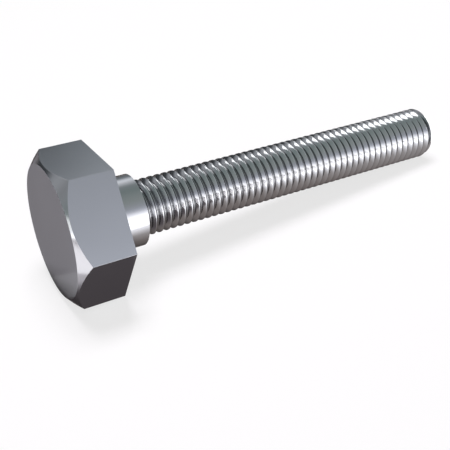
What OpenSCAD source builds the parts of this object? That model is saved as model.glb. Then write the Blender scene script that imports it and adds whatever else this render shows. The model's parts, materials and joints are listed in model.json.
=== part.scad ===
// Heavy hex head screw: a chamfered hexagon head, a plain round collar wider than
// the thread, and a long coarse thread that runs from the collar to a chamfered tip.
// Sizes are in millimetres. The origin is the centre of the bearing face under the
// head. The screw lies on a flat floor as it comes to rest: one flat of the hexagon
// faces down, the edge of the bearing face and the tip touch, and the tip points
// along +X and slightly down.

/* [Head] */
// Width across the flats of the hexagon
across_flats = 43; // [34:0.5:52]
// Height of the head, from the front face to the bearing face
head_h = 16.7; // [10:0.1:24]
// Distance from each flat to the rim of the round front face
face_inset = 0.65; // [0.1:0.05:3]
// Slope of the corner chamfer, in degrees from the front face
chamfer_angle = 40; // [15:1:45]

/* [Collar] */
// Diameter of the plain collar
collar_d = 23; // [20:0.5:30]
// Length of the plain collar
collar_l = 10.2; // [4:0.1:20]

/* [Thread] */
// Diameter of the thread over its crests
thread_d = 18; // [14:0.5:19.5]
// Distance from one turn of the thread to the next
pitch = 2.5; // [2:0.25:3.5]
// Length from the bearing face to the end of the tip
length = 127; // [60:1:130]
// Length over which the groove fades out towards the collar
runout_l = 1.0; // [0.5:0.1:4]

/* [Tip] */
// Length of the chamfer round the tip
tip_chamfer_l = 1.8; // [0.5:0.1:4]
// Slope of the tip chamfer, in degrees from the axis
tip_angle = 40; // [20:1:60]

/* [Hidden] */
$fn = 72;

hex_r = across_flats / sqrt(3);
face_r = across_flats / 2 - face_inset;
chamfer_h = (hex_r - face_r) * tan(chamfer_angle);

// Metric thread form: flanks at 30 degrees to the radius, a flat crest of an eighth
// of the pitch, and a groove as deep as the standard's rounded root
flank_angle = 30;
crest_r = thread_d / 2;
crest_w = pitch / 8;
groove_depth = 0.6134 * pitch;
flank_w = groove_depth * tan(flank_angle);
form_z = [0, flank_w, flank_w + crest_w, 2 * flank_w + crest_w];
form_rise = [0, 1, 1, 0];
corners = len(form_z);

// The helix starts inside the collar and runs on past the tip, which cuts it off
steps = 26;
buried_turns = 1.78;
helix_z = collar_l - buried_turns * pitch;
turns = ceil((length - helix_z) / pitch) + 1;
stations = turns * steps;
shallow = 0.05;
cap_step = 0.1 * groove_depth;
cap_gap = pitch / 4;

tip_r = crest_r - tip_chamfer_l * tan(tip_angle);
envelope_r = crest_r + pitch;
steel = [0.39, 0.395, 0.41];

// The lowest side of the thread touches the floor at its last whole crest, and the
// tilt brings that crest level with the lower edge of the bearing face
crest_end_z = helix_z + form_z[2];
whole_turns = floor((length - tip_chamfer_l - crest_end_z) / pitch);
last_crest_z = crest_end_z + whole_turns * pitch;
rest_tilt = atan((across_flats / 2 - crest_r) / last_crest_z);

function clamp(v, low, high) = min(high, max(low, v));

// Share of the full groove depth that is cut at height z
function cut_share(z) = clamp((z - collar_l) / runout_l, shallow, 1);

function station_z(i, c) = helix_z + pitch * i / steps + form_z[c];

function station_r(i, c) =
    crest_r - groove_depth * (1 - form_rise[c]) * cut_share(station_z(i, c));

function on_circle(i, r, z) = [r * cos(360 * i / steps), r * sin(360 * i / steps), z];

// One round end of the helix: a flat ring of points just under the groove
function ring(i, z) = [for (k = [0 : steps - 1])
    on_circle(i + k, crest_r - groove_depth * cut_share(z) - cap_step, z)];

// Index of corner c at station i in the list of helix points
function at(i, c) = corners * i + c;

// Two triangles over the four-sided patch a, b, c, d
function patch(a, b, c, d) = [[a, b, c], [a, c, d]];

// The flat step where the helix begins or ends, from its four corners, the ring
// point beside it and the neighbour turn's corner
function step_face(p, ring_point, near, far, next) =
    [[p[0], p[1], p[2]], [p[0], p[2], p[3]], [ring_point, near, far], [ring_point, far, next]];

function flip(faces) = [for (f = faces) [f[2], f[1], f[0]]];

module head() {
    intersection() {
        translate([0, 0, -head_h])
            rotate(30)
                cylinder(r = hex_r, h = head_h, $fn = 6);
        rotate_extrude()
            polygon([[0, -head_h], [face_r, -head_h], [hex_r, chamfer_h - head_h],
                [hex_r + 1, chamfer_h - head_h], [hex_r + 1, 1], [0, 1]]);
    }
}

// The collar is one with the head, so it starts halfway through it
module collar() {
    translate([0, 0, -head_h / 2])
        cylinder(d = collar_d, h = head_h / 2 + collar_l);
}

module helix() {
    last = stations;
    low_ring = corners * (stations + 1);
    high_ring = low_ring + steps;
    points = concat(
        [for (i = [0 : last]) for (c = [0 : corners - 1])
            on_circle(i, station_r(i, c), station_z(i, c))],
        ring(0, helix_z - cap_gap),
        ring(0, station_z(last, corners - 1) + cap_gap));
    tooth = [for (i = [0 : last - 1]) for (c = [0 : corners - 2])
        each patch(at(i, c), at(i, c + 1), at(i + 1, c + 1), at(i + 1, c))];
    root = [for (i = [0 : last - steps - 1])
        each patch(at(i, corners - 1), at(i + steps, 0), at(i + steps + 1, 0), at(i + 1, corners - 1))];
    low_strip = [for (k = [0 : steps - 1])
        each patch(low_ring + k, at(k, 0), at(k + 1, 0), low_ring + (k + 1) % steps)];
    high_strip = [for (k = [0 : steps - 1])
        each patch(at(last - steps + k, corners - 1), high_ring + k,
            high_ring + (k + 1) % steps, at(last - steps + k + 1, corners - 1))];
    low_step = step_face([for (c = [0 : corners - 1]) at(0, c)],
        low_ring, at(0, 0), at(0, corners - 1), at(steps, 0));
    high_step = step_face([for (c = [0 : corners - 1]) at(last, c)],
        high_ring, at(last - steps, corners - 1), at(last, 0), at(last, corners - 1));
    low_cap = [for (k = [0 : steps - 1]) low_ring + k];
    high_cap = [for (k = [0 : steps - 1]) high_ring + steps - 1 - k];
    polyhedron(points, concat(tooth, root, low_strip, high_strip, flip(low_step), high_step,
        [low_cap], [high_cap]));
}

module threaded_shank() {
    intersection() {
        helix();
        rotate_extrude()
            polygon([[0, 0], [envelope_r, 0],
                [envelope_r, length - (envelope_r - tip_r) / tan(tip_angle)],
                [tip_r, length], [0, length]]);
    }
}

module screw() {
    color(steel)
        rotate([0, 90 + rest_tilt, 0])
            union() {
                head();
                collar();
                threaded_shank();
            }
}

screw();
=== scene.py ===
# %% [markdown]
# A heavy hex head screw in bright steel: a chamfered hexagon head, a plain round collar,
# a long coarse thread and a chamfered tip. The real screw is one piece, so it ends here
# as one closed mesh that stands for the packed solid. This lesson shows how such a
# turned and threaded part is built in Blender: every form starts as a primitive, a
# Screw modifier winds the thread, and Boolean modifiers cut and join the forms.

# %% Load the packed model
import json
from math import atan2, cos, degrees, pi, radians, sin, sqrt, tan

import bpy
from mathutils import Matrix, Vector


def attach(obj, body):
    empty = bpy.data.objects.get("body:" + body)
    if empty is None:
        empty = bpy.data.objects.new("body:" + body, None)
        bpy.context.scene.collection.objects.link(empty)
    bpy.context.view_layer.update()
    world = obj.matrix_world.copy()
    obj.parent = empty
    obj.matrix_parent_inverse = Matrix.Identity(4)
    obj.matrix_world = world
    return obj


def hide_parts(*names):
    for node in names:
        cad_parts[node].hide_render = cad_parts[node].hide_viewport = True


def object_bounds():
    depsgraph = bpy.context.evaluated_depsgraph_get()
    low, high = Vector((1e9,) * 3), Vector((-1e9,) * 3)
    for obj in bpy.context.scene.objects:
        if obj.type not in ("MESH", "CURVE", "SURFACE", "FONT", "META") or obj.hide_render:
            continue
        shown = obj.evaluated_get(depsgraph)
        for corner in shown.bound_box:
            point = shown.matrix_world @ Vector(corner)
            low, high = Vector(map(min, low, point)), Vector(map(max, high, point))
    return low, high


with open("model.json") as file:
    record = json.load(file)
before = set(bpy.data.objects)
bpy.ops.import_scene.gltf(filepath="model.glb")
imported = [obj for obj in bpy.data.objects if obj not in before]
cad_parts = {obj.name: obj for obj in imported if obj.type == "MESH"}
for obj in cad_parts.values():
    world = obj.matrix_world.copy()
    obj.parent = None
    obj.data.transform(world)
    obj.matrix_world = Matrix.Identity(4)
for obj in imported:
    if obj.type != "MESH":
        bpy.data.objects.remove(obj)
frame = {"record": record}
cad_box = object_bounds()
print("packed model:", [[round(v, 5) for v in corner] for corner in cad_box])

# %% [markdown]
# The packed record already knows the collar and the way the screw lies, because the
# collar is a mount there. The screw is modelled upright, its axis on Z and the bearing
# face of the head at height zero, because primitives and the Screw modifier work about Z.
# It is laid down at the very end.

# %% Sizes from the record
MM = 0.001
mounts = {mount["name"]: mount for mount in frame["record"]["mounts"]}
collar_r = mounts["collar"]["dims"]["r_mm"] * MM
collar_l = mounts["collar"]["dims"]["length_mm"] * MM
screw_axis = Vector(mounts["collar"]["axis"])
lie_angle = atan2(screw_axis.x, screw_axis.z)
print("lies", round(degrees(pi / 2 - lie_angle), 2), "degrees off level")

# %% [markdown]
# A few small helpers keep each step short. Operators act on whatever is selected, so a
# step first deselects everything and then picks its own object, faces or edges. Round
# tools and blanks are all made as cones here, because a cylinder is a cone of equal ends.


# %% Helpers for objects and modifiers
def only(obj):
    """Select this object alone."""
    bpy.ops.object.select_all(action="DESELECT")
    obj.select_set(True)
    bpy.context.view_layer.objects.active = obj
    return obj


def named(name):
    """Name the object that was just added."""
    obj = bpy.context.object
    obj.name = obj.data.name = name
    return obj


def finish_modifier(obj, kind, **settings):
    """Add a modifier and apply it at once."""
    only(obj)
    modifier = obj.modifiers.new(kind, kind)
    for key, value in settings.items():
        setattr(modifier, key, value)
    bpy.ops.object.modifier_apply(modifier=modifier.name)
    return obj


def combine(obj, tool, operation):
    """Join or cut an object with a tool, which is used up."""
    finish_modifier(obj, "BOOLEAN", object=tool, operation=operation, solver="EXACT")
    bpy.data.objects.remove(tool, do_unlink=True)
    return obj


def cone(name, low_z, high_z, low_r, high_r, sides):
    """A cone on the Z axis between two heights."""
    bpy.ops.object.select_all(action="DESELECT")
    bpy.ops.mesh.primitive_cone_add(vertices=sides, radius1=low_r, radius2=high_r,
                                    depth=high_z - low_z, location=(0, 0, (low_z + high_z) / 2))
    bpy.ops.object.transform_apply(location=True)
    return named(name)


# %% [markdown]
# The head is a hexagonal bar end whose corners were turned off by a lathe. So it is made
# in that order: a prism of six sides, and a wide cone that opens backwards from the
# round front face. What lies inside both is the head. A bevel on the prism's corners
# would be quicker, but it cuts straight lines, and only the cone leaves the curved edges
# that a real head has on its flats. A narrow bevel at the end takes the razor edge off.

# %% Head
SMOOTH_SIDES = 192
EDGE_BREAK = 0.05 * MM
across_flats = 43.0 * MM
head_h = 16.7 * MM
face_inset = 0.65 * MM
chamfer_angle = radians(40)
spare = 2 * MM
hex_r = across_flats / sqrt(3)
face_r = across_flats / 2 - face_inset

bpy.ops.object.select_all(action="DESELECT")
bpy.ops.mesh.primitive_cylinder_add(vertices=6, radius=hex_r, depth=head_h + spare,
                                    location=(0, 0, -(head_h + spare) / 2))
bpy.ops.object.transform_apply(location=True)
head = named("head")
lathe_cut = cone("lathe_cut", -head_h, spare, face_r,
                 face_r + (head_h + spare) / tan(chamfer_angle), SMOOTH_SIDES)
combine(head, lathe_cut, "INTERSECT")
finish_modifier(head, "BEVEL", width=EDGE_BREAK, segments=2, limit_method="ANGLE",
                angle_limit=radians(25))
print("head:", len(head.data.polygons), "faces")

# %% [markdown]
# The collar is a plain turned cylinder that starts inside the head, so that the two
# overlap and join cleanly.

# %% Collar
collar = cone("collar", -head_h / 2, collar_l, collar_r, collar_r, SMOOTH_SIDES)
finish_modifier(collar, "BEVEL", width=EDGE_BREAK, segments=2, limit_method="ANGLE",
                angle_limit=radians(60))
combine(head, collar, "UNION")
print("head with collar:", len(head.data.polygons), "faces")

# %% [markdown]
# A coarse metric thread is all ratios of its pitch: the groove is 0.6134 of it deep, and
# the crest of the basic form is an eighth of it wide. Where the thread meets the collar
# the tool was drawn out, so the groove fades there. A short cone fills it: it starts
# inside the collar and ends just under the groove's bottom.

# %% Thread sizes and runout
FLANK = radians(30)
DEPTH_IN_PITCHES = 0.6134
CREST_IN_PITCHES = 1 / 8
thread_r = 9.0 * MM
pitch = 2.5 * MM
length = 127.0 * MM
runout_l = 1.0 * MM
under_bottom = 0.01 * MM
groove_depth = DEPTH_IN_PITCHES * pitch
crest_phase = (DEPTH_IN_PITCHES * tan(FLANK) + CREST_IN_PITCHES / 2) * pitch
root_r = thread_r - groove_depth

runout = cone("runout", collar_l - runout_l, collar_l + runout_l,
              thread_r + 0.95 * groove_depth, root_r - under_bottom, SMOOTH_SIDES)
combine(head, runout, "UNION")
print("groove:", round(groove_depth / MM, 3), "mm deep")

# %% [markdown]
# The thread is one tooth's outline, wound up. Its flanks stand at 30 degrees, as on any
# metric thread. A rolled thread has no razor edges: its groove has a round bottom, and its
# crest is slightly domed. The outline is worked out here as a few points, so that every
# turn gets exactly this form and no more faces than it needs.

# %% Outline of one tooth
crest_w = 0.40 * MM
crest_dome = 0.03 * MM
bottom_w = pitch - crest_w - 2 * (groove_depth - crest_dome) * tan(FLANK)
root_arc = bottom_w / 2 / tan(FLANK)


def tooth_outline():
    """Points (radius, height) of one pitch: a groove's round bottom, then the crest."""
    bottom = [(root_r + root_arc * (1 - cos(turn)), root_arc * sin(turn))
              for turn in (-pi / 3, -pi / 9, pi / 9, pi / 3)]
    edge_r = thread_r - crest_dome
    crest = [(edge_r, (pitch - crest_w) / 2), (thread_r, pitch / 2),
             (edge_r, (pitch + crest_w) / 2)]
    return bottom + crest + [(bottom[0][0], bottom[0][1] + pitch)]


outline = tooth_outline()
print("tooth:", len(outline), "points, bottom radius", round(root_arc / MM, 3), "mm")

# %% [markdown]
# The outline is drawn as by hand: a plane is merged to a single point, and the point is
# extruded from place to place. A Screw modifier then winds it round Z. Stacked rings or
# a bump pattern would look like a thread from afar, but only the wound outline is a true
# helix, with turns that also show on the silhouette. It starts well inside the collar,
# so that the groove comes out of it at the packed model's place, and it goes on past the
# tip, where the chamfer will trim it.

# %% Wind the thread
STEPS_PER_TURN = 144
BURIED_TURNS = 1.78
SPARE_TURNS = 3
helix_z = collar_l - BURIED_TURNS * pitch
turns = int((length - helix_z) / pitch) + SPARE_TURNS
root_middle_z = helix_z + crest_phase - pitch / 2

bpy.ops.object.select_all(action="DESELECT")
bpy.ops.mesh.primitive_plane_add(size=pitch, location=(outline[0][0], 0,
                                                       root_middle_z + outline[0][1]))
thread = named("thread")
bpy.ops.object.transform_apply(location=True)
bpy.ops.object.mode_set(mode="EDIT")
bpy.ops.mesh.select_all(action="SELECT")
bpy.ops.mesh.merge(type="CENTER")
for here, there in zip(outline, outline[1:]):
    step = (there[0] - here[0], 0, there[1] - here[1])
    bpy.ops.mesh.extrude_region_move(TRANSFORM_OT_translate={"value": step})
bpy.ops.object.mode_set(mode="OBJECT")
finish_modifier(thread, "SCREW", axis="Z", angle=2 * pi, screw_offset=pitch, iterations=turns,
                steps=STEPS_PER_TURN, render_steps=STEPS_PER_TURN)
print("thread:", turns, "turns,", len(thread.data.vertices), "points")

# %% [markdown]
# Neighbouring turns only touch, so their doubled points are merged. Both ends are still
# open along the groove. Each open rim is extruded and merged at its centre, which
# closes it with a fan. The lower fan hides in the collar, and the upper one is cut off.


# %% Close the thread
def select_open_rim(obj, low, high):
    bpy.ops.mesh.select_all(action="DESELECT")
    bpy.ops.mesh.select_mode(type="EDGE")
    bpy.ops.mesh.select_non_manifold(use_wire=False, use_multi_face=False,
                                     use_non_contiguous=False, use_verts=False)
    bpy.ops.object.mode_set(mode="OBJECT")
    rim = obj.data
    for edge in rim.edges:
        heights = [rim.vertices[v].co.z for v in edge.vertices]
        edge.select = edge.select and low < min(heights) and max(heights) < high
    inside = {v for edge in rim.edges if edge.select for v in edge.vertices}
    for vertex in rim.vertices:
        vertex.select = vertex.index in inside
    bpy.ops.object.mode_set(mode="EDIT")


def close_rim(obj, low, high):
    select_open_rim(obj, low, high)
    bpy.ops.mesh.extrude_region_move()
    bpy.ops.mesh.merge(type="CENTER")


only(thread)
bpy.ops.object.mode_set(mode="EDIT")
bpy.ops.mesh.select_all(action="SELECT")
bpy.ops.mesh.remove_doubles(threshold=MM / 1000)
middle_z = length / 2
close_rim(thread, -1, middle_z)
close_rim(thread, middle_z, 1)
bpy.ops.mesh.select_all(action="SELECT")
bpy.ops.mesh.normals_make_consistent(inside=False)
bpy.ops.object.mode_set(mode="OBJECT")
print("closed thread:", len(thread.data.polygons), "faces")

# %% [markdown]
# The tip's chamfer is turned too: a steep cone that ends in the flat end face trims the
# last turns. Then head and thread are joined into the one closed skin of the screw.

# %% Tip and joining
tip_chamfer_l = 1.8 * MM
tip_angle = radians(40)
tool_l = 140 * MM
tip_r = thread_r - tip_chamfer_l * tan(tip_angle)
tip_cut = cone("tip_cut", length - tool_l, length, tip_r + tool_l * tan(tip_angle), tip_r,
               SMOOTH_SIDES)
combine(thread, tip_cut, "INTERSECT")
combine(thread, head, "UNION")
screw = thread
screw.name = screw.data.name = "hex_screw"
print("screw:", len(screw.data.polygons), "faces")

# %% [markdown]
# Shading decides whether an edge reads as round or crisp. Round parts are smooth, and
# edges steeper than the limit stay sharp. Along the thread no edge is sharp, because a
# rolled crest flows into its flanks. Head, collar and tip get weighted normals, so that
# the large flat faces stay truly flat right up to their narrow bevels.

# %% Shade the skin
SMOOTH_BELOW = radians(32)
only(screw)
bpy.ops.object.shade_smooth_by_angle(angle=SMOOTH_BELOW)
bpy.ops.object.mode_set(mode="EDIT")
bpy.ops.mesh.select_all(action="DESELECT")
bpy.ops.mesh.select_mode(type="EDGE")
bpy.ops.object.mode_set(mode="OBJECT")
skin = screw.data
wound_from, wound_to = collar_l + runout_l / 2, length - tip_chamfer_l
wound = {v.index for v in skin.vertices if wound_from < v.co.z < wound_to}
for edge in skin.edges:
    edge.select = all(v in wound for v in edge.vertices)
bpy.ops.object.mode_set(mode="EDIT")
bpy.ops.mesh.mark_sharp(clear=True)
bpy.ops.object.mode_set(mode="OBJECT")
plain = screw.vertex_groups.new(name="plain")
plain.add([v.index for v in skin.vertices if v.index not in wound], 1.0, "REPLACE")
finish_modifier(screw, "WEIGHTED_NORMAL", mode="FACE_AREA", keep_sharp=True, vertex_group="plain")
print("skin:", len(wound), "points on the thread of", len(skin.vertices))

# %% [markdown]
# Now the screw is laid down as it rests: turned about Y until its axis points along the
# mount's axis. The turn is applied, so the object itself sits unturned at the origin.

# %% Lay the screw down
only(screw)
screw.rotation_euler = (0, lie_angle, 0)
bpy.ops.object.transform_apply(rotation=True)
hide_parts("screw")
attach(screw, "root")
print("lowest point", round(min(v.co.z for v in screw.data.vertices) / MM, 2), "mm")

# %% [markdown]
# Shader maths is written as Python expressions. A small class wraps a socket, and its
# operators add Math nodes, so a mask reads like a formula. A second class adds any other
# node, with its settings and the values of its sockets, to a material or a world.


# %% Shader helpers
class Wire:
    """A socket that can be added, subtracted and multiplied."""

    def __init__(self, shop, socket):
        self.shop, self.socket = shop, socket

    def _math(self, operation, a, b):
        return self.shop.node("ShaderNodeMath", {"operation": operation}, {0: a, 1: b})

    def __add__(self, other):
        return self._math("ADD", self, other)

    def __radd__(self, other):
        return self._math("ADD", other, self)

    def __sub__(self, other):
        return self._math("SUBTRACT", self, other)

    def __rsub__(self, other):
        return self._math("SUBTRACT", other, self)

    def __mul__(self, other):
        return self._math("MULTIPLY", self, other)

    def __rmul__(self, other):
        return self._math("MULTIPLY", other, self)


class Shop:
    """Adds nodes to a material or a world."""

    def __init__(self, owner, surface):
        owner.use_nodes = True
        self.owner, self.tree = owner, owner.node_tree
        self.surface = self.tree.nodes[surface]

    def node(self, kind, settings=None, values=None, output=0):
        new = self.tree.nodes.new(kind)
        for key, value in (settings or {}).items():
            if key == "stops":
                self._stops(new.color_ramp, value)
            else:
                setattr(new, key, value)
        for key, value in (values or {}).items():
            self.feed(new.inputs[key], value)
        return Wire(self, new.outputs[output])

    def _stops(self, ramp, stops):
        while len(ramp.elements) < len(stops):
            ramp.elements.new(1.0)
        for element, (place, tone) in zip(ramp.elements, stops):
            element.position = place
            element.color = (*tone, 1)

    def feed(self, socket, value):
        if isinstance(value, Wire):
            self.tree.links.new(value.socket, socket)
        else:
            socket.default_value = value


print("shader helpers:", Wire.__doc__, Shop.__doc__)

# %% [markdown]
# A few kinds of node come back again and again: a fade from 0 to 1 between two values, a
# mix of two colours, the parts of a vector, and a distance from an axis.


# %% Fades, mixes and places
def fade(value, start, end, low=0.0, high=1.0):
    """From low, at start, to high, at end."""
    return value.shop.node("ShaderNodeMapRange", values={
        "Value": value, "From Min": start, "From Max": end, "To Min": low, "To Max": high})


def mixed(share, first, second, blend_type="MIX"):
    shop = next(part.shop for part in (share, first, second) if isinstance(part, Wire))
    return shop.node("ShaderNodeMix", {"data_type": "RGBA", "blend_type": blend_type},
                     {0: share, 6: first, 7: second}, output=2)


def parts(vector, axes):
    """The named parts of a vector, each as a Wire."""
    return [vector.shop.node("ShaderNodeSeparateXYZ", values={0: vector}, output=axis)
            for axis in axes]


def off_axis(a, b):
    return a.shop.node("ShaderNodeMath", {"operation": "SQRT"}, {0: a * a + b * b})


print("node helpers:", fade.__name__, mixed.__name__, parts.__name__, off_axis.__name__)

# %% [markdown]
# Every mark on the steel has a place on the screw, so the material starts with Object
# coordinates, turned to run along the screw's axis. From them come the height along the
# axis and the distance from it. Three noises follow: a soft cloud, a fine grain, and
# rings round the axis, which read only distance and height.

# %% Places and patterns on the steel
CLOUD_SCALE, GRAIN_SCALE, RING_SCALE = 60.0, 3000.0, 5000.0

steel = Shop(bpy.data.materials.new("bright_steel"), "Principled BSDF")
along = steel.node("ShaderNodeMapping", {"vector_type": "TEXTURE"},
                   {"Vector": steel.node("ShaderNodeTexCoord", output="Object"),
                    "Rotation": (0, lie_angle, 0)})
across_x, across_y, height = parts(along, "XYZ")
radius = off_axis(across_x, across_y)
ring_place = steel.node("ShaderNodeCombineXYZ", values={"X": radius, "Y": height})
cloud, grain, rings = (
    steel.node("ShaderNodeTexNoise", values={"Vector": place, "Scale": scale, "Detail": detail})
    for place, scale, detail in ((along, CLOUD_SCALE, 4.0), (along, GRAIN_SCALE, 2.0),
                                 (ring_place, RING_SCALE, 1.0)))
print("patterns:", len(steel.tree.nodes), "nodes")

# %% [markdown]
# Bright steel is a metal whose reflections are less than half as strong as the light they
# mirror. Seen at a glance it should mirror less, not more, so the edge tint is dark. The
# cloud shifts tone and gloss a little, as handling does. The rings are as low as a lathe
# and a thread roller leave them, so they only soften the reflections.

# %% Steel
STEEL_DARK = (0.372, 0.377, 0.392, 1)
STEEL_LIGHT = (0.398, 0.403, 0.418, 1)
EDGE_TINT = (0.33, 0.33, 0.33, 1)
SMOOTHEST, CLOUD_BLUR, GRAIN_BLUR = 0.12, 0.05, 0.02
RING_STRENGTH, RING_HEIGHT = 0.06, 0.02 * MM

clean_tone = mixed(0.7 * cloud + 0.3 * grain, STEEL_DARK, STEEL_LIGHT)
steel.feed(steel.surface.inputs["Metallic"], 1.0)
steel.feed(steel.surface.inputs["Roughness"], SMOOTHEST + CLOUD_BLUR * cloud + GRAIN_BLUR * grain)
steel.feed(steel.surface.inputs["Specular Tint"], EDGE_TINT)
steel.feed(steel.surface.inputs["Normal"], steel.node("ShaderNodeBump", values={
    "Strength": RING_STRENGTH, "Distance": RING_HEIGHT, "Height": rings + 0.5 * grain}))
print("steel so far:", len(steel.tree.nodes), "nodes")

# %% [markdown]
# A thin dark painted shade lies in the bottom of the groove, where shade falls between the
# turns. It is what separates the turns when they are seen from a step away. The mask is made of
# the distance from the axis, and it stops at the collar and at the flat end. The painted
# shade is thinner near the collar, so the first turns stay lighter.

# %% Painted shade in the groove
# painted shade: a dark colour mixed into the steel at the bottom of the groove
PAINTED_GROOVE_SHADE = (0.06, 0.055, 0.052, 1)
GROOVE_SHADE_SHARE = 0.45
GROOVE_SHADE_AT_COLLAR = 0.35
shade_high, shade_full = root_r + 0.28 * MM, root_r + 0.05 * MM
shade_starts, shade_grown = collar_l, collar_l + 30 * MM
shade_stops = length - 0.3 * MM

above = steel.node("ShaderNodeMath", {"operation": "GREATER_THAN"}, {0: height, 1: shade_starts})
below = steel.node("ShaderNodeMath", {"operation": "LESS_THAN"}, {0: height, 1: shade_stops})
grown = fade(height, shade_starts, shade_grown, GROOVE_SHADE_AT_COLLAR, 1.0)
groove_shade = GROOVE_SHADE_SHARE * (fade(radius, shade_high, shade_full) * above * below * grown)
steel.feed(steel.surface.inputs["Base Color"], mixed(groove_shade, clean_tone, PAINTED_GROOVE_SHADE))
screw.data.materials.clear()
screw.data.materials.append(steel.owner)
print("steel:", len(steel.tree.nodes), "nodes")

# %% [markdown]
# The stage is a wide floor of nearly white matt paper, so wide that its edge is never in
# the picture. It touches the screw's lowest point.

# %% Floor
FLOOR_SIZE = 12
PAPER = (0.93, 0.93, 0.93, 1)
floor_z = cad_box[0][2]
bpy.ops.object.select_all(action="DESELECT")
bpy.ops.mesh.primitive_plane_add(size=FLOOR_SIZE, location=(0, 0, floor_z))
bpy.ops.object.transform_apply(location=True)
floor = named("floor")
paper = Shop(bpy.data.materials.new("white_paper"), "Principled BSDF")
paper.feed(paper.surface.inputs["Base Color"], PAPER)
paper.feed(paper.surface.inputs["Roughness"], 0.9)
paper.feed(paper.surface.inputs["Specular IOR Level"], 0.0)
floor.data.materials.append(paper.owner)
print("floor at", round(floor_z / MM, 2), "mm")

# %% [markdown]
# Polished metal shows the floor, and how bright the floor is there draws the screw's
# round forms. In a studio, cards on the table do this. Here the paper itself glows with painted
# light and shade that only mirrored rays meet: painted light in front of the thread, painted
# shade close under it, and the darkest painted shade under the head. Rays from the camera meet plain
# white.

# %% Painted light and shade on the mirrored floor
# painted shade under the head, and painted light in front of the thread that fades to painted shade
# under it
PAINTED_SHADE_UNDER_HEAD = (0.19, 0.165, 0.175, 1)
PAINTED_LIGHT_AND_SHADE_BY_THREAD = [(-0.046, (2.0, 1.98, 2.05)), (-0.034, (1.95, 1.92, 1.98)),
                (-0.025, (1.25, 1.21, 1.23)), (-0.0175, (0.7, 0.65, 0.64)),
                (-0.006, (0.42, 0.365, 0.345))]
RAMP_DEPTH = 0.05
THREAD_LEAN, THREAD_MIDDLE = 0.0875, 0.07
HEAD_ENDS, THREAD_BEGINS = 0.003, 0.011
WHITE = (1, 1, 1, 1)

floor_x, floor_y = parts(paper.node("ShaderNodeTexCoord", output="Object"), "XY")
camera_ray, glossy_ray, through_ray = (paper.node("ShaderNodeLightPath", output=name) for name in
                                       ("Is Camera Ray", "Is Glossy Ray", "Is Transmission Ray"))
mirrored = glossy_ray + through_ray
in_front_of_thread = floor_y - THREAD_LEAN * (floor_x - THREAD_MIDDLE)
painted_thread_tone = paper.node("ShaderNodeValToRGB",
                         {"stops": [(1 + y / RAMP_DEPTH, tone) for y, tone in PAINTED_LIGHT_AND_SHADE_BY_THREAD]},
                         {0: 1 + (1 / RAMP_DEPTH) * in_front_of_thread})
painted_mirror_tone = mixed(fade(floor_x, HEAD_ENDS, THREAD_BEGINS), PAINTED_SHADE_UNDER_HEAD, painted_thread_tone)
glow = paper.node("ShaderNodeEmission", values={"Color": mixed(mirrored, WHITE, painted_mirror_tone)})
print("mirrored floor:", len(PAINTED_LIGHT_AND_SHADE_BY_THREAD), "tones")

# %% [markdown]
# The paper must look white to the camera and still keep the lamps' soft shadow. More
# light would do the first, but it would burn out the steel. So for camera rays the paper
# glows by about three quarters near the screw and fully far away, and the rest is lit
# paper. Mirrored rays meet the glowing painted light and shade only beside the head and the thread.

# %% White paper
GLOW_NEAR, GLOW_FAR = 0.73, 1.0
NEAR, FAR = 0.12, 0.5
from_screw = off_axis(floor_x, floor_y)
white_share = fade(from_screw, NEAR, FAR, GLOW_NEAR, GLOW_FAR)
FACE_HALF, SLANT = 0.02, 0.008
TONE_STARTS, TONE_FULL = -0.028, -0.020
slant = fade(floor_y, -FACE_HALF, FACE_HALF, -SLANT, SLANT)
# where mirrored rays meet the painted light and shade: beside the head and the thread
painted_mirror_share = fade(floor_x - slant, TONE_STARTS, TONE_FULL)
glow_share = white_share * camera_ray + painted_mirror_share * mirrored
blend = paper.node("ShaderNodeMixShader", values={0: glow_share})
paper.tree.links.new(paper.surface.outputs[0], blend.socket.node.inputs[1])
paper.tree.links.new(glow.socket, blend.socket.node.inputs[2])
paper.tree.links.new(blend.socket, paper.tree.nodes["Material Output"].inputs["Surface"])
print("paper:", len(paper.tree.nodes), "nodes")

# %% [markdown]
# What stands around the screw is a soft tunnel along it, as round parts are lit in a
# studio: a bright low wall in front, a dimmer roof, a second soft band high at the back
# and a dark wall behind it. Big lamps could build it, but a world of a few tones costs no
# time to render. It paints the tunnel by the angle round the X axis, in degrees from the
# front over the top to the back.

# %% Tunnel of soft light
TUNNEL = [
    (0, (3.0, 3.0, 3.05)), (5, (3.0, 3.0, 3.05)), (12, (2.1, 2.1, 2.2)),
    (18, (1.4, 1.42, 1.55)), (22, (1.0, 1.04, 1.15)), (26, (0.82, 0.86, 0.95)),
    (31, (0.67, 0.7, 0.77)), (40, (0.58, 0.62, 0.65)), (54, (0.5, 0.55, 0.54)),
    (72, (0.44, 0.5, 0.49)), (93, (0.35, 0.42, 0.41)), (112, (0.42, 0.47, 0.48)),
    (128, (1.1, 1.13, 1.18)), (138, (1.6, 1.65, 1.72)), (146, (1.45, 1.5, 1.58)),
    (150, (0.95, 0.99, 1.05)), (157, (0.26, 0.29, 0.31)), (166, (0.28, 0.3, 0.32)),
    (180, (0.3, 0.31, 0.33)),
]
world = bpy.data.worlds.new("soft_tunnel")
sky = Shop(world, "Background")
toward_x, toward_y, toward_z = parts(sky.node("ShaderNodeTexCoord", output="Generated"), "XYZ")
angle_round_x = sky.node("ShaderNodeMath", {"operation": "ARCTAN2"}, {0: toward_z, 1: -1 * toward_y})
turn_share = angle_round_x * (1 / pi)
wall = sky.node("ShaderNodeValToRGB", {"stops": [(angle / 180, tone) for angle, tone in TUNNEL]},
                {0: turn_share})
print("tunnel:", len(TUNNEL), "tones")

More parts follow.
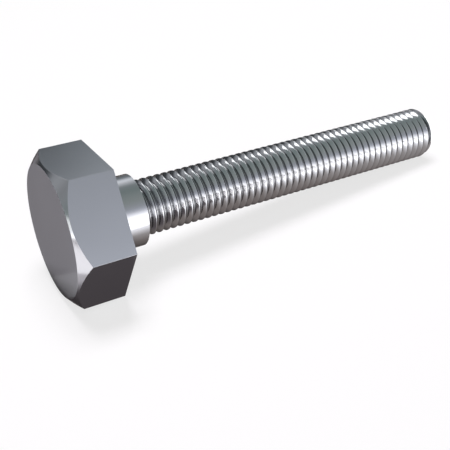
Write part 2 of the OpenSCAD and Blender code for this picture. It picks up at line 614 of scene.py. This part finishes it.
# %% [markdown]
# A tunnel alone would light head and thread alike. A photographer sets flags and extra
# cards for each, so a few masks dim or lift the walls by direction. They read the share
# of the half turn from front to back, and how far the direction leans along the screw:
# the back wall is dimmed left and right of the screw, a low strip is lifted for the
# thread's top, and the front wall is dimmed far to the right.

# %% Flags and strips
back_wall = fade(turn_share, 0.62, 0.70)
low_back = fade(turn_share, 0.83, 0.88)
low_front = fade(turn_share, 0.17, 0.11)
roof = fade(turn_share, 0.22, 0.32)
far_right = fade(toward_x, 0.60, 0.74)
flagged = back_wall * (fade(toward_x, 0.20, 0.08) + fade(toward_x, 0.42, 0.50))
strip = low_back * fade(toward_x, 0.30, 0.36) * fade(toward_x, 0.44, 0.38)
end_strip = low_back * fade(toward_x, 0.80, 0.88)
level = (1 - 0.6 * flagged + 1.1 * strip + 3.0 * end_strip
         - 0.75 * (low_front * far_right) + 0.7 * (roof * far_right))
mirrored_world = mixed(1.0, wall, level, "MULTIPLY")
print("world so far:", len(sky.tree.nodes), "nodes")

# %% [markdown]
# Diffuse light needs none of this. It meets an even dim room, so that the floor's shadow
# is soft and round, and the camera meets plain white behind the floor.

# %% What each ray meets
ROOM = (0.155, 0.13, 0.125, 1)
diffuse_ray = sky.node("ShaderNodeLightPath", output="Is Diffuse Ray")
seen_ray = sky.node("ShaderNodeLightPath", output="Is Camera Ray")
unseen = mixed(diffuse_ray, mirrored_world, ROOM)
sky.feed(sky.surface.inputs["Color"], mixed(seen_ray, unseen, WHITE))
bpy.context.scene.world = world
print("world:", len(sky.tree.nodes), "nodes")

# %% [markdown]
# One large soft box high above is the key lamp. It draws the shadow and lights the paper.
# The steel shows the tunnel instead, so the key lamp is hidden from reflections.


# %% Key lamp
def soft_box(name, place, aim, wide, high, radiance, colour=(1, 1, 1)):
    """A rectangular lamp that faces its aim and isn't seen by the camera itself."""
    bpy.ops.object.select_all(action="DESELECT")
    bpy.ops.object.light_add(type="AREA", location=place)
    lamp = named(name)
    lamp.data.shape = "RECTANGLE"
    lamp.data.size, lamp.data.size_y = wide, high
    lamp.data.energy = radiance * pi * wide * high
    lamp.data.color = colour
    lamp.rotation_euler = (Vector(place) - Vector(aim)).to_track_quat("Z", "Y").to_euler()
    lamp.visible_camera = False
    return lamp


KEY_COLOUR = (1.0, 0.965, 1.03)
key = soft_box("key_box", (0.10, 0.13, 0.97), (0.05, 0, 0), 0.45, 0.45, 15.6, KEY_COLOUR)
key.visible_glossy = False
print("key lamp:", round(key.data.energy, 1), "W")

# %% [markdown]
# White cards on the table put the last highlights into the steel: a wide one in front,
# smaller ones left of the head and past the tip, and a dull one at the head's foot. They
# are lamps that lie on the floor and shine upwards, and only reflections meet them.


# %% Cards on the table
CARD_LIFT = 0.3 * MM


def mirror_card(name, corner_a, corner_b, turn, radiance):
    """A glowing card flat on the floor, from corner to corner, turned by some degrees."""
    (x0, y0), (x1, y1) = corner_a, corner_b
    here = ((x0 + x1) / 2, (y0 + y1) / 2, floor_z + CARD_LIFT)
    card = soft_box(name, here, (here[0], here[1], 1), abs(x1 - x0), abs(y1 - y0), radiance)
    card.rotation_euler = (pi, 0, radians(turn))
    card.visible_diffuse = False
    return card


cards = [
    mirror_card("front_card", (-0.008, -0.60), (0.35, -0.0345), 5, 1.95),
    mirror_card("left_card", (-0.50, -0.06), (-0.045, 0.03), 0, 1.1),
    mirror_card("wing_card", (-0.12, -0.60), (-0.03, -0.10), 0, 1.95),
    mirror_card("tip_card", (0.135, -0.005), (0.5, 0.4), 0, 8.0),
    mirror_card("foot_card", (-0.032, -0.002), (-0.021, 0.012), 0, 0.3),
]
print("cards:", [card.name for card in cards])

# %% [markdown]
# Two small soft boxes finish the set: one at the left gives the front face its even tone,
# and one high at the back is long across the screw, so it draws a short white strip
# along the top of each turn.

# %% Small soft boxes
shank_start = (0.03, 0, 0)
left_box = soft_box("left_box", (-0.80, -0.10, 0.10), shank_start, 0.35, 0.24, 1.5)
back_box = soft_box("back_box", (-0.10, 0.38, 0.82), shank_start, 0.36, 0.54, 3.6)
left_box.visible_diffuse = back_box.visible_diffuse = False
print("small boxes:", left_box.name, back_box.name)

# %% [markdown]
# The camera is where the photograph's was, found by fitting a pinhole camera to the
# corners of the head, the outlines and the turns of the thread.

# %% Camera
IMAGE_SIDE = 450
FOCAL_PX = 791.3
SENSOR_MM = 36
camera_at = Vector((-0.06121, -0.20228, 0.12368))
camera_right = Vector((0.857618, -0.504485, -0.099929))
camera_up = Vector((0.344680, 0.419621, 0.839711))
camera_back = camera_right.cross(camera_up)
bpy.ops.object.camera_add()
camera = named("photo_camera")
facing = Matrix((camera_right, camera_up, camera_back)).transposed()
camera.matrix_world = Matrix.Translation(camera_at) @ facing.to_4x4()
camera.data.sensor_width = SENSOR_MM
camera.data.lens = FOCAL_PX / IMAGE_SIDE * SENSOR_MM
camera.data.clip_start = 0.01
bpy.context.scene.camera = camera
bpy.context.scene.view_settings.view_transform = "Standard"
print("lens:", round(camera.data.lens, 1), "mm")

# %% [markdown] The screw is rigid, so the visual model's box and the packed model's have to agree.
